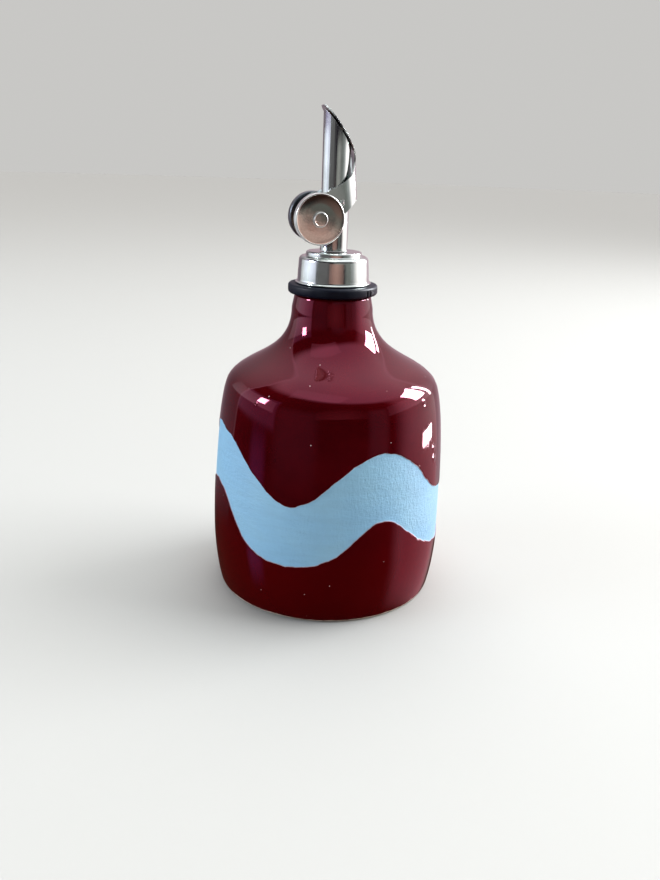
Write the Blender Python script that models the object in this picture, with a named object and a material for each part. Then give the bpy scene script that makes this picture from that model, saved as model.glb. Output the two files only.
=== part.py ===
"""Ceramic oil bottle with a stainless pourer and a weighted flap.

Metres, +Z up. The origin is the centre of the base, on the surface that the
bottle stands on. The spout pours towards -X, and the front faces -Y.
"""

import math

import bmesh
import bpy
from mathutils import Matrix

MM = 0.001

# Gap kept between pieces that touch
GAP = 0.3 * MM

# Ceramic bottle: radii, heights and slopes of its turned outline
BASE_FLAT_RADIUS = 37.2 * MM
FOOT_RADIUS = 37.97 * MM
FOOT_HEIGHT = 0.5 * MM
FOOT_SLOPE = math.radians(61.5)
FOOT_ROUND = 1.1 * MM
BELLY_RADIUS = 40.3 * MM
BELLY_HEIGHT = 21.2 * MM
BELLY_FULLNESS_BELOW = 10.3 * MM
BELLY_FULLNESS_ABOVE = 20.5 * MM
SHOULDER_RADIUS = 35.8 * MM
SHOULDER_HEIGHT = 73.8 * MM
SHOULDER_SLOPE = math.radians(117.7)
SHOULDER_ROUND_BELOW = 6.3 * MM
SHOULDER_ROUND_ABOVE = 8.3 * MM
NECK_RADIUS = 13.6 * MM
NECK_HEIGHT = 98.3 * MM
NECK_SWEEP = 16.2 * MM
MOUTH_RADIUS = 12.9 * MM
MOUTH_HEIGHT = 102.7 * MM
MOUTH_ROUND = 1.0 * MM

# The collar and cap sit a little off the bottle's axis, and the tube a little more
SEAT_AXIS = -0.3 * MM
TUBE_AXIS = -0.5 * MM

# Rubber collar that seals the mouth, with two small slots in its rim
COLLAR_RADIUS = 14.9 * MM
COLLAR_HEIGHT = 3.2 * MM
COLLAR_ROUND = 0.8 * MM
SLOT_ANGLE = math.radians(-54)
SLOT_SPACING = math.radians(6.5)
SLOT_WIDTH = 0.7 * MM
SLOT_DEPTH = 1.1 * MM
SLOT_HEIGHT = 2.3 * MM

# Stainless cap pressed over the collar
CAP_LIP_RADIUS = 12.6 * MM
CAP_LIP_THICKNESS = 0.35 * MM
CAP_FLARE_HEIGHT = 1.5 * MM
CAP_WALL_RADIUS = 11.85 * MM
CAP_TOP_RADIUS = 11.5 * MM
CAP_WALL_HEIGHT = 7.2 * MM
CAP_SHOULDER_ROUND = 1.5 * MM
CAP_STEP_RADIUS = 9.2 * MM
CAP_STEP_HEIGHT = 1.4 * MM
CAP_STEP_ROUND = 0.6 * MM

# Pouring tube with a blind bore, cut off at a slant
TUBE_RADIUS = 4.5 * MM
TUBE_WALL = 0.5 * MM
TUBE_FLOOR = 1.3 * MM
CUT_HEIGHT = 153.85 * MM
CUT_DROP = 1.32

# Hinge of the flap, out from the tube's axis: a domed pin stands out on the near side, a flush one on the far side
HINGE = (0.7 * MM, 132.2 * MM)
PIN_RADIUS = 0.75 * MM
PIN_CLEARANCE = 0.3 * MM
PIN_STAND_OUT = {"near": 0.45 * MM, "far": 0.0}

# Sheet flap: a spine behind the tube, arms beside it and a lid on its cut
SHEET = 0.4 * MM
ARM_FACE = 5.3 * MM
SPINE_FOOT = (7.0 * MM, 133.7 * MM)
SPINE_TOP = (6.0 * MM, 145.6 * MM)
LID_GAP = 0.3 * MM
LID_TIP = -4.65 * MM
LID_BACK = 4.5 * MM
LID_BOW = 0.2 * MM
LID_MIDDLE = 0.4 * MM
LID_HALF_LENGTH = 5.3 * MM
LID_HALF_WIDTH = 4.9 * MM
LID_BLUNTNESS = 2.2
LID_BEND = 1.6 * MM
WAIST_HALF_WIDTH = 2.9 * MM
WAIST_SWEEP = 1.45
ARM_FOLD = 1.75 * MM
ARM_TOP_AT_FOLD = 138.45 * MM
ARM_TOP_SLOPE = 0.51
CROTCH_SLOPE = 0.70
ARM_FOOT_SLOPE = 0.88
ARM_MIDDLE = -1.4 * MM
ARM_TAPER_START = -4.4 * MM
ARM_TAPER_LENGTH = 6.4 * MM
ARM_TIP_HEIGHT = 126.8 * MM

# Grid of the flap: columns from its middle line outwards, rows from its foot up
ARC_STEP = math.radians(15)
CROTCH_COLUMN = 4
FLAT_COLUMN = 6
TAPER_COLUMN = 8
LAST_COLUMN = 12
TAPER_STEP = math.radians(18)
CROTCH_ROW = 4
STRIP_ROWS = 4
BEND_ROWS = 4
LID_ROWS = 12

# Weights: two discs outside the arms, each held by a rivet
WEIGHT_HEIGHT = 127.2 * MM
WEIGHT_REACH = {"near": -7.1 * MM, "far": -5.5 * MM}
WEIGHT_RADIUS = 8.0 * MM
WEIGHT_THICKNESS = 2.6 * MM
WEIGHT_EDGE_ROUND = 0.4 * MM
RIM_WIDTH = 0.9 * MM
RIM_HEIGHT = 0.4 * MM
RIVET_HEAD_RADIUS = 2.35 * MM
RIVET_HEAD_HEIGHT = 0.9 * MM
RIVET_HEAD_BEVEL = 0.4 * MM
RIVET_SHANK_RADIUS = 1.1 * MM
RIVET_TAIL_RADIUS = 1.9 * MM
RIVET_TAIL_HEIGHT = 0.6 * MM

# The two sides of the tube, as directions along Y
SIDES = {"near": -1, "far": 1}

SMOOTH_ANGLE = math.radians(35)


def new_material(name, colour, roughness, metallic):
    """A plain Principled material."""
    made = bpy.data.materials.new(name)
    made.use_nodes = True
    shader = made.node_tree.nodes["Principled BSDF"]
    shader.inputs["Base Color"].default_value = (*colour, 1.0)
    shader.inputs["Roughness"].default_value = roughness
    shader.inputs["Metallic"].default_value = metallic
    return made


def new_object(name, bm, material):
    """An object made from a bmesh, shaded smooth up to a sharp angle."""
    mesh = bpy.data.meshes.new(name)
    bm.to_mesh(mesh)
    bm.free()
    mesh.shade_smooth()
    mesh.set_sharp_from_angle(angle=SMOOTH_ANGLE)
    mesh.materials.append(material)
    made = bpy.data.objects.new(name, mesh)
    bpy.context.scene.collection.objects.link(made)
    return made


def along(point, angle, distance):
    """The point at a distance from another, at an angle from outward."""
    return (point[0] + distance * math.cos(angle), point[1] + distance * math.sin(angle))


def curve_points(start, start_handle, end_handle, end, steps):
    """Points along a cubic curve, without its first point."""
    corners = (start, start_handle, end_handle, end)
    points = []
    for step in range(1, steps + 1):
        t = step / steps
        u = 1 - t
        shares = (u ** 3, 3 * u * u * t, 3 * u * t * t, t ** 3)
        points.append(tuple(sum(share * corner[axis] for share, corner in zip(shares, corners))
                            for axis in range(2)))
    return points


def arc_points(centre, radius, first, last, steps):
    """Points on an arc, for a rounded edge of a turned outline."""
    angles = [first + (last - first) * step / steps for step in range(steps + 1)]
    return [along(centre, angle, radius) for angle in angles]


def turned(outline, segments, ring=False):
    """A bmesh turned round Z from an outline of (radius, height) points."""
    bm = bmesh.new()
    verts = [bm.verts.new((radius, 0, height)) for radius, height in outline]
    edges = [bm.edges.new(pair) for pair in zip(verts, verts[1:])]
    if ring:
        edges.append(bm.edges.new((verts[-1], verts[0])))
    bmesh.ops.spin(bm, geom=verts + edges, cent=(0, 0, 0), axis=(0, 0, 1),
                   angle=math.tau, steps=segments, use_merge=True)
    bmesh.ops.remove_doubles(bm, verts=bm.verts, dist=0.002 * MM)
    bmesh.ops.recalc_face_normals(bm, faces=bm.faces)
    return bm


def cut_away(target, name, bm, material):
    """Cut a hidden cutter's shape out of an object."""
    cutter = new_object(name, bm, material)
    cutter.hide_render = True
    cutter.display_type = 'WIRE'
    boolean = target.modifiers.new(name, 'BOOLEAN')
    boolean.operation = 'DIFFERENCE'
    boolean.object = cutter
    return cutter


def make_bottle(glaze):
    """The bottle: one turned body, full at the belly and narrow at the neck."""
    foot = (FOOT_RADIUS, FOOT_HEIGHT)
    belly = (BELLY_RADIUS, BELLY_HEIGHT)
    shoulder = (SHOULDER_RADIUS, SHOULDER_HEIGHT)
    neck = (NECK_RADIUS, NECK_HEIGHT)
    outline = [(0, 0), (BASE_FLAT_RADIUS, 0), foot]
    outline += curve_points(foot, along(foot, FOOT_SLOPE, FOOT_ROUND),
                            (BELLY_RADIUS, BELLY_HEIGHT - BELLY_FULLNESS_BELOW), belly, 6)
    outline += curve_points(belly, (BELLY_RADIUS, BELLY_HEIGHT + BELLY_FULLNESS_ABOVE),
                            along(shoulder, SHOULDER_SLOPE, -SHOULDER_ROUND_BELOW), shoulder, 10)
    outline += curve_points(shoulder, along(shoulder, SHOULDER_SLOPE, SHOULDER_ROUND_ABOVE),
                            (NECK_RADIUS, NECK_HEIGHT - NECK_SWEEP), neck, 10)
    mouth_edge = (MOUTH_RADIUS - MOUTH_ROUND, MOUTH_HEIGHT - MOUTH_ROUND)
    outline += arc_points(mouth_edge, MOUTH_ROUND, 0, math.pi / 2, 3)
    outline.append((0, MOUTH_HEIGHT))
    return new_object("bottle", turned(outline, 56), glaze)


def make_collar(rubber):
    """The collar: a thick rounded disc with two slots side by side in its rim."""
    low = MOUTH_HEIGHT + GAP
    high = low + COLLAR_HEIGHT
    edge_radius = COLLAR_RADIUS - COLLAR_ROUND
    outline = [(0, low)]
    outline += arc_points((edge_radius, low + COLLAR_ROUND), COLLAR_ROUND, -math.pi / 2, 0, 3)
    outline += arc_points((edge_radius, high - COLLAR_ROUND), COLLAR_ROUND, 0, math.pi / 2, 3)
    outline.append((0, high))
    collar = new_object("collar", turned(outline, 48), rubber)

    slots = bmesh.new()
    for side in (-0.5, 0.5):
        slot = bmesh.ops.create_cube(slots, size=1.0)["verts"]
        bmesh.ops.scale(slots, verts=slot, vec=(2 * SLOT_DEPTH, SLOT_WIDTH, 2 * SLOT_HEIGHT))
        bmesh.ops.translate(slots, verts=slot, vec=(COLLAR_RADIUS, 0, low))
        bmesh.ops.rotate(slots, verts=slot, cent=(0, 0, 0),
                         matrix=Matrix.Rotation(SLOT_ANGLE + side * SLOT_SPACING, 3, 'Z'))
    cut_away(collar, "collar_slots", slots, rubber).parent = collar
    collar.location.x = SEAT_AXIS
    return collar


def cap_top():
    """The height of the cap's raised top."""
    return (MOUTH_HEIGHT + COLLAR_HEIGHT + 2 * GAP + CAP_WALL_HEIGHT + CAP_SHOULDER_ROUND
            + CAP_STEP_HEIGHT)


def make_cap(steel):
    """The cap: thin flared lip, nearly straight wall, round shoulder, raised step."""
    low = MOUTH_HEIGHT + COLLAR_HEIGHT + 2 * GAP
    lip_round = CAP_LIP_THICKNESS / 2
    flare_start = (CAP_LIP_RADIUS - lip_round, low + CAP_LIP_THICKNESS)
    wall_top = low + CAP_WALL_HEIGHT
    step_low = wall_top + CAP_SHOULDER_ROUND
    outline = [(0, low)]
    outline += arc_points((CAP_LIP_RADIUS - lip_round, low + lip_round), lip_round,
                          -math.pi / 2, math.pi / 2, 3)
    outline += curve_points(flare_start, (CAP_WALL_RADIUS + 0.1 * MM, low + CAP_LIP_THICKNESS),
                            (CAP_WALL_RADIUS, low + CAP_FLARE_HEIGHT / 2),
                            (CAP_WALL_RADIUS, low + CAP_FLARE_HEIGHT), 4)
    outline += arc_points((CAP_TOP_RADIUS - CAP_SHOULDER_ROUND, wall_top), CAP_SHOULDER_ROUND,
                          0, math.pi / 2, 4)
    outline.append((CAP_STEP_RADIUS, step_low))
    outline += arc_points((CAP_STEP_RADIUS - CAP_STEP_ROUND, cap_top() - CAP_STEP_ROUND),
                          CAP_STEP_ROUND, 0, math.pi / 2, 3)
    outline.append((0, cap_top()))
    cap = new_object("cap", turned(outline, 48), steel)
    cap.location.x = SEAT_AXIS
    return cap


def cut_height_at(x):
    """The height of the tube's slanted cut at a place along X."""
    return CUT_HEIGHT - CUT_DROP * x


def make_tube(steel):
    """The tube: a turned cup whose open top is cut off at a slant."""
    low = cap_top() + GAP
    high = cut_height_at(-2 * TUBE_RADIUS)
    bore = TUBE_RADIUS - TUBE_WALL
    outline = [(0, low), (TUBE_RADIUS, low), (TUBE_RADIUS, high), (bore, high),
               (bore, low + TUBE_FLOOR), (0, low + TUBE_FLOOR)]
    bm = turned(outline, 40)
    bmesh.ops.bisect_plane(bm, geom=bm.verts[:] + bm.edges[:] + bm.faces[:], dist=0.001 * MM,
                           plane_co=(0, 0, CUT_HEIGHT), plane_no=(CUT_DROP, 0, 1),
                           clear_outer=True)
    rims = [edge for edge in bm.edges if edge.is_boundary]
    bmesh.ops.bridge_loops(bm, edges=rims)
    bmesh.ops.recalc_face_normals(bm, faces=bm.faces)
    tube = new_object("tube", bm, steel)
    tube.location.x = TUBE_AXIS
    return tube


def make_pin(place, steel):
    """A domed hinge pin on one side of the tube, through the arm there."""
    start = TUBE_RADIUS + GAP
    end = ARM_FACE + PIN_STAND_OUT[place]
    dome = PIN_RADIUS / 2
    outline = [(0, start), (PIN_RADIUS, start), (PIN_RADIUS, end - dome)]
    outline += curve_points(outline[-1], (PIN_RADIUS, end - dome / 2),
                            (PIN_RADIUS / 2, end), (0, end), 3)
    pin = new_object("pin_" + place, turned(outline, 16), steel)
    pin.location = (TUBE_AXIS + HINGE[0], 0, HINGE[1])
    pin.rotation_euler.x = -SIDES[place] * math.pi / 2
    return pin


def lid_point(x):
    """A point of the lid's slightly bowed outer face, on its middle line."""
    across = (2 * x - LID_BACK - LID_TIP) / (LID_BACK - LID_TIP)
    rise = LID_GAP + SHEET + LID_BOW * (1 - across * across)
    return (x, cut_height_at(x) + rise * math.hypot(1, CUT_DROP))


def arm_column(column):
    """A column of the arms: its place along X and Y, and its foot and top heights."""
    if column <= FLAT_COLUMN:
        angle = column * ARC_STEP
        x = SPINE_FOOT[0] - ARM_FACE * (1 - math.cos(angle))
        y = ARM_FACE * math.sin(angle)
    else:
        x = ARM_MIDDLE if column < TAPER_COLUMN else ARM_TAPER_START
        y = ARM_FACE
    foot = SPINE_FOOT[1] + ARM_FOOT_SLOPE * (x - SPINE_FOOT[0])
    slope = CROTCH_SLOPE if x > ARM_FOLD else ARM_TOP_SLOPE
    top = ARM_TOP_AT_FOLD + slope * (x - ARM_FOLD)
    if column > TAPER_COLUMN:
        turn = (column - TAPER_COLUMN) * TAPER_STEP
        x -= ARM_TAPER_LENGTH * math.sin(turn)
        foot = ARM_TIP_HEIGHT + (foot - ARM_TIP_HEIGHT) * math.cos(turn)
        top = ARM_TIP_HEIGHT + (top - ARM_TIP_HEIGHT) * math.cos(turn)
    return x, y, foot, top


def crotch_height():
    """The height at which the strip leaves the arms."""
    return arm_column(CROTCH_COLUMN)[3]


def spine_lean():
    """How far the spine moves along X for each step up."""
    return (SPINE_TOP[0] - SPINE_FOOT[0]) / (SPINE_TOP[1] - SPINE_FOOT[1])


def arm_point(row, column):
    """A grid point of the arms and of the spine between them."""
    x, y, foot, top = arm_column(column)
    top = min(top, crotch_height())
    height = foot + (top - foot) * row / CROTCH_ROW
    if column <= FLAT_COLUMN:
        x += spine_lean() * (height - SPINE_FOOT[1])
    return x, y, height


def middle_line():
    """The flap's middle line above the arms, up the spine and over the lid."""
    lean = math.atan2(1, spine_lean())
    slant = math.atan2(CUT_DROP, -1)
    lid_back = lid_point(LID_BACK)
    line = []
    for step in range(1, STRIP_ROWS + 1):
        height = crotch_height() + (SPINE_TOP[1] - crotch_height()) * step / STRIP_ROWS
        line.append((SPINE_TOP[0] + spine_lean() * (height - SPINE_TOP[1]), height))
    line += curve_points(SPINE_TOP, along(SPINE_TOP, lean, LID_BEND),
                         along(lid_back, slant, -LID_BEND), lid_back, BEND_ROWS)
    for step in range(1, LID_ROWS + 1):
        share = math.sin(math.pi / 2 * step / LID_ROWS)
        line.append(lid_point(LID_BACK + share * (LID_TIP - LID_BACK)))
    return line


def half_width(place):
    """Half the width of the strip or the lid at a place on the middle line."""
    x, height = place
    waist = WAIST_HALF_WIDTH
    if height <= SPINE_TOP[1]:
        share = (SPINE_TOP[1] - height) / (SPINE_TOP[1] - crotch_height())
        shoulder = ARM_FACE * CROTCH_COLUMN * ARC_STEP
        return waist + (shoulder - waist) * share ** WAIST_SWEEP
    reach = min(1, abs(x - LID_MIDDLE) / LID_HALF_LENGTH)
    lid = LID_HALF_WIDTH * (1 - reach ** LID_BLUNTNESS) ** (1 / LID_BLUNTNESS)
    return lid if x < LID_MIDDLE else max(waist, lid)


def strip_point(place, column):
    """A grid point of the strip, which is rolled at the arms and flat at the lid."""
    x, height = place
    rise = (height - crotch_height()) / (lid_point(LID_BACK)[1] - crotch_height())
    roll = (1 - min(1, rise) ** 2) / ARM_FACE
    across = half_width(place) * column / CROTCH_COLUMN
    if roll == 0:
        return x, across, height
    return x - (1 - math.cos(across * roll)) / roll, math.sin(across * roll) / roll, height


def flap_sheet():
    """The flap's outer face as a grid, before it gets its thickness."""
    bm = bmesh.new()
    rows = []
    for row in range(CROTCH_ROW + 1):
        rows.append({column: arm_point(row, column) for column in range(LAST_COLUMN + 1)})
    for place in middle_line():
        rows.append({column: strip_point(place, column) for column in range(CROTCH_COLUMN + 1)})
    grid = []
    for row in rows:
        verts = {}
        for column, (x, y, height) in row.items():
            for side in sorted({column, -column}):
                verts[side] = bm.verts.new((x - HINGE[0], math.copysign(y, side),
                                            height - HINGE[1]))
        grid.append(verts)
    for low, high in zip(grid, grid[1:]):
        for column in sorted(high)[:-1]:
            bm.faces.new((low[column], low[column + 1], high[column + 1], high[column]))
    return bm


def make_flap(steel, hinge):
    """The flap: one bent sheet with holes for the hinge pins and the rivets."""
    flap = new_object("flap", flap_sheet(), steel)
    flap.parent = hinge
    thickness = flap.modifiers.new("Thickness", 'SOLIDIFY')
    thickness.thickness = SHEET
    thickness.offset = -1
    thickness.use_even_offset = True

    holes = bmesh.new()
    for place, side in SIDES.items():
        rivet = (WEIGHT_REACH[place] - HINGE[0], WEIGHT_HEIGHT - HINGE[1])
        for centre, radius in (((0, 0), PIN_RADIUS + PIN_CLEARANCE),
                               (rivet, RIVET_SHANK_RADIUS + GAP)):
            middle = Matrix.Translation((centre[0], side * ARM_FACE, centre[1]))
            bmesh.ops.create_cone(holes, cap_ends=True, segments=20, radius1=radius,
                                  radius2=radius, depth=ARM_FACE,
                                  matrix=middle @ Matrix.Rotation(math.pi / 2, 4, 'X'))
    cut_away(flap, "flap_holes", holes, steel).parent = hinge
    return flap


def weight_outline():
    """The outline of a weight: flat face inside a raised bead, with a rivet hole."""
    inner = ARM_FACE + GAP
    face = inner + WEIGHT_THICKNESS
    hole = RIVET_SHANK_RADIUS + GAP
    bead = RIM_WIDTH / 2
    edge = WEIGHT_EDGE_ROUND
    outline = [(hole, inner)]
    outline += arc_points((WEIGHT_RADIUS - edge, inner + edge), edge, -math.pi / 2, 0, 2)
    outline += arc_points((WEIGHT_RADIUS - bead, face + RIM_HEIGHT - bead), bead,
                          0, math.pi, 5)
    outline += [(WEIGHT_RADIUS - RIM_WIDTH - RIM_HEIGHT / 2, face), (hole, face)]
    return outline


def rivet_outline():
    """The outline of a rivet: flat bevelled head outside, small tail inside the arm."""
    tail_top = ARM_FACE - SHEET - GAP
    tail_low = tail_top - RIVET_TAIL_HEIGHT
    head_low = ARM_FACE + WEIGHT_THICKNESS + 2 * GAP
    head_top = head_low + RIVET_HEAD_HEIGHT
    bevel = RIVET_HEAD_BEVEL
    return [(0, tail_low), (RIVET_TAIL_RADIUS - bevel, tail_low),
            (RIVET_TAIL_RADIUS, tail_low + bevel), (RIVET_TAIL_RADIUS, tail_top),
            (RIVET_SHANK_RADIUS, tail_top), (RIVET_SHANK_RADIUS, head_low),
            (RIVET_HEAD_RADIUS, head_low), (RIVET_HEAD_RADIUS, head_top - bevel),
            (RIVET_HEAD_RADIUS - bevel, head_top), (0, head_top)]


def make_on_weight_axis(name, place, bm, finish, hinge):
    """A turned piece on the axis of one weight, facing away from the tube."""
    piece = new_object(name + "_" + place, bm, finish)
    piece.parent = hinge
    piece.location = (WEIGHT_REACH[place] - HINGE[0], 0, WEIGHT_HEIGHT - HINGE[1])
    piece.rotation_euler.x = -SIDES[place] * math.pi / 2
    return piece


def main():
    for old in list(bpy.data.objects):
        bpy.data.objects.remove(old)

    glaze = new_material("burgundy_glaze", (0.16, 0.012, 0.022), 0.08, 0.0)
    rubber = new_material("navy_rubber", (0.012, 0.02, 0.035), 0.45, 0.0)
    steel = new_material("polished_steel", (0.72, 0.72, 0.71), 0.12, 1.0)
    worn_steel = new_material("worn_steel", (0.52, 0.49, 0.45), 0.32, 1.0)

    make_bottle(glaze)
    make_collar(rubber)
    make_cap(steel)
    make_tube(steel)

    hinge = bpy.data.objects.new("flap_hinge", None)
    hinge.location = (TUBE_AXIS + HINGE[0], 0, HINGE[1])
    bpy.context.scene.collection.objects.link(hinge)
    make_flap(steel, hinge)
    for place in SIDES:
        make_pin(place, steel)
        make_on_weight_axis("weight", place, turned(weight_outline(), 40, ring=True),
                            worn_steel, hinge)
        make_on_weight_axis("rivet", place, turned(rivet_outline(), 24), steel, hinge)


main()
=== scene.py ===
# Ceramic oil bottle with a stainless pourer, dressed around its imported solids.
import math

import bpy
import numpy as np
from mathutils import Matrix, Vector


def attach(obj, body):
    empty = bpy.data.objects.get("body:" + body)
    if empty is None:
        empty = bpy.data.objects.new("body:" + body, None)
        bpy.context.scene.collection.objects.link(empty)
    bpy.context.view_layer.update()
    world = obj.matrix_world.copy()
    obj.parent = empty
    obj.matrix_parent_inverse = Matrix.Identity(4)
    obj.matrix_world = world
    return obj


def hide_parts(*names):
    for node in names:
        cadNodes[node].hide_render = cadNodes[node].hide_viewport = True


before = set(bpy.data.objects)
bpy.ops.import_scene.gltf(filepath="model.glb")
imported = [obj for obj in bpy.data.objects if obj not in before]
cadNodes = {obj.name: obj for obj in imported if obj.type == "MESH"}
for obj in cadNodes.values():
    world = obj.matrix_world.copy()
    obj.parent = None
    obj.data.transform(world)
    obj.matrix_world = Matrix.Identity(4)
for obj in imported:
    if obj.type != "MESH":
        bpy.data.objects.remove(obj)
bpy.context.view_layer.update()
mm = 0.001


def deselectAll():
    if bpy.context.mode != 'OBJECT':
        bpy.ops.object.mode_set(mode='OBJECT')
    bpy.ops.object.select_all(action='DESELECT')


def addNode(tree, kind, inputs=None, **settings):
    node = tree.nodes.new(kind)
    for key, value in settings.items():
        setattr(node, key, value)
    for key, value in (inputs or {}).items():
        if isinstance(value, bpy.types.NodeSocket):
            tree.links.new(value, node.inputs[key])
        else:
            node.inputs[key].default_value = value
    return node


def newFinish(name):
    # an empty material with its output and one Principled shader
    finish = bpy.data.materials.new(name)
    finish.use_nodes = True
    tree = finish.node_tree
    tree.nodes.clear()
    shader = addNode(tree, 'ShaderNodeBsdfPrincipled')
    addNode(tree, 'ShaderNodeOutputMaterial', {"Surface": shader.outputs[0]})
    return finish, tree, shader


def objectPlace(tree):
    return addNode(tree, 'ShaderNodeTexCoord').outputs["Object"]


def stretched(tree, place, scale):
    return addNode(tree, 'ShaderNodeMapping', {"Vector": place, "Scale": scale}).outputs[0]


def cloudy(tree, place, scale, detail=3.0, rough=0.5):
    noise = addNode(tree, 'ShaderNodeTexNoise', {"Vector": place, "Scale": scale, "Detail": detail,
                                                 "Roughness": rough})
    return noise.outputs["Fac"]


def ramped(tree, value, low, high, toLow=0.0, toHigh=1.0, soft=True):
    kind = 'SMOOTHSTEP' if soft else 'LINEAR'
    spread = addNode(tree, 'ShaderNodeMapRange', {"Value": value, "From Min": low, "From Max": high,
                                                  "To Min": toLow, "To Max": toHigh},
                     interpolation_type=kind)
    return spread.outputs["Result"]


def sums(tree, operation, first, second):
    return addNode(tree, 'ShaderNodeMath', {0: first, 1: second}, operation=operation).outputs[0]


def mixed(tree, share, first, second):
    # two colours, each a socket or a (red, green, blue)
    blend = addNode(tree, 'ShaderNodeMix', data_type='RGBA')
    for socket, value in ((blend.inputs[0], share), (blend.inputs[6], first), (blend.inputs[7], second)):
        if isinstance(value, bpy.types.NodeSocket):
            tree.links.new(value, socket)
        else:
            socket.default_value = (*value, 1.0) if isinstance(value, tuple) else value
    return blend.outputs[2]


def bumped(tree, height, distance, strength=1.0, under=None):
    inputs = {"Height": height, "Distance": distance, "Strength": strength}
    if under is not None:
        inputs["Normal"] = under
    return addNode(tree, 'ShaderNodeBump', inputs).outputs[0]


photoView = {
    "place": (-0.0801, -0.2640, 0.1462),
    "turnLeft": -17.0,
    "tip": 70.94,
    "roll": 2.013,
    "lens": 33.652, "sensor": 36.0, "sees": (0.01, 30.0),
}


def addCamera():
    camera = bpy.data.objects.new("photoCamera", bpy.data.cameras.new("photoCamera"))
    bpy.context.scene.collection.objects.link(camera)
    camera.data.sensor_fit = 'AUTO'
    camera.data.sensor_width = photoView["sensor"]
    camera.data.lens = photoView["lens"]
    camera.data.clip_start, camera.data.clip_end = photoView["sees"]
    turn = (Matrix.Rotation(math.radians(photoView["turnLeft"]), 4, 'Z')
            @ Matrix.Rotation(math.radians(photoView["tip"]), 4, 'X')
            @ Matrix.Rotation(math.radians(photoView["roll"]), 4, 'Z'))
    camera.matrix_world = Matrix.Translation(photoView["place"]) @ turn
    bpy.context.scene.camera = camera


# compass: degrees round Z from +X, the camera stands at -107; mirrored: seen in reflections
softboxes = {
    "windowRight": {"compass": 5, "height": 29, "away": 1.1, "wide": 0.40, "tall": 0.50,
                    "watts": 33.0, "tint": (0.92, 0.96, 1.0), "mirrored": True},
    "windowRightBar": {"compass": 23, "height": 20, "away": 1.1, "wide": 0.06, "tall": 0.58,
                       "watts": 4.0, "tint": (0.92, 0.96, 1.0), "mirrored": True},
    "windowRightGlint": {"compass": 7, "height": -13, "away": 0.8, "wide": 0.24, "tall": 0.040,
                         "watts": 1.9, "tint": (0.95, 0.98, 1.0), "mirrored": True},
    "windowLeft": {"compass": 175, "height": 21, "away": 1.2, "wide": 0.22, "tall": 0.30,
                   "watts": 10.0, "tint": (0.88, 0.93, 1.0), "mirrored": True},
    "whiteCardLeft": {"compass": 163, "height": 0, "away": 0.16, "middle": 0.123, "wide": 0.22,
                      "tall": 0.070, "watts": 0.0150, "tint": (0.90, 0.97, 1.0), "mirrored": True,
                      "spread": 100},
    "whiteCardRight": {"compass": -7, "height": 0, "away": 0.16, "middle": 0.123, "wide": 0.30,
                       "tall": 0.070, "watts": 0.0155, "tint": (0.98, 1.0, 1.0), "mirrored": True,
                       "spread": 100},
    "brownCard": {"compass": -97, "height": 0, "away": 0.10, "middle": 0.100, "wide": 0.080, "tall": 0.040,
                  "watts": 0.00066, "tint": (1.0, 0.55, 0.46), "mirrored": True, "spread": 70},
    "edgeCard": {"compass": -130, "height": 50, "away": 0.11, "middle": 0.150, "wide": 0.13, "tall": 0.08,
                 "watts": 0.0065, "tint": (0.97, 1.0, 1.0), "mirrored": True, "spread": 100},
    "greyCard": {"compass": -88, "height": 0, "away": 0.10, "middle": 0.136, "wide": 0.070, "tall": 0.032,
                 "watts": 0.00036, "tint": (1.0, 0.98, 0.92), "mirrored": True, "spread": 70},
    "dayRight": {"compass": -6, "height": 32, "away": 1.1, "wide": 0.9, "tall": 0.8,
                 "watts": 19.0, "tint": (0.97, 0.985, 1.0), "mirrored": False},
    "dayLeft": {"compass": 176, "height": 14, "away": 1.2, "wide": 0.6, "tall": 0.6,
                "watts": 9.0, "tint": (0.74, 0.89, 1.0), "mirrored": False},
}
usualBox = {"middle": 0.07, "spread": 180}
overhead = {"compass": 60.0, "height": 68.0, "angle": 70.0, "strength": 3.6, "tint": (1.0, 0.985, 0.96)}


def addLights():
    for name, box in softboxes.items():
        middle = Matrix.Translation((0, 0, box.get("middle", usualBox["middle"])))
        data = bpy.data.lights.new(name, 'AREA')
        data.shape = 'RECTANGLE'
        data.size = box["wide"]
        data.size_y = box["tall"]
        data.energy = box["watts"]
        data.color = box["tint"]
        data.spread = math.radians(box.get("spread", usualBox["spread"]))
        light = bpy.data.objects.new(name, data)
        bpy.context.scene.collection.objects.link(light)
        away = (Matrix.Rotation(math.radians(box["compass"]), 4, 'Z')
                @ Matrix.Rotation(-math.radians(box["height"]), 4, 'Y')
                @ Matrix.Translation((box["away"], 0, 0)))
        light.location = (middle @ away).translation
        light.rotation_euler = away.translation.to_track_quat('Z', 'Y').to_euler()
        light.visible_camera = False
        light.visible_glossy = box["mirrored"]
        light.visible_diffuse = not box["mirrored"]
    data = bpy.data.lights.new("overhead", 'SUN')
    data.angle = math.radians(overhead["angle"])
    data.energy = overhead["strength"]
    data.color = overhead["tint"]
    light = bpy.data.objects.new("overhead", data)
    bpy.context.scene.collection.objects.link(light)
    light.rotation_euler = towardsCompass(overhead["compass"], overhead["height"]
                                          ).to_track_quat('Z', 'Y').to_euler()
    light.visible_glossy = False


def towardsCompass(compass, height):
    around, up = math.radians(compass), math.radians(height)
    return Vector((math.cos(around) * math.cos(up), math.sin(around) * math.cos(up), math.sin(up)))


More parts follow.
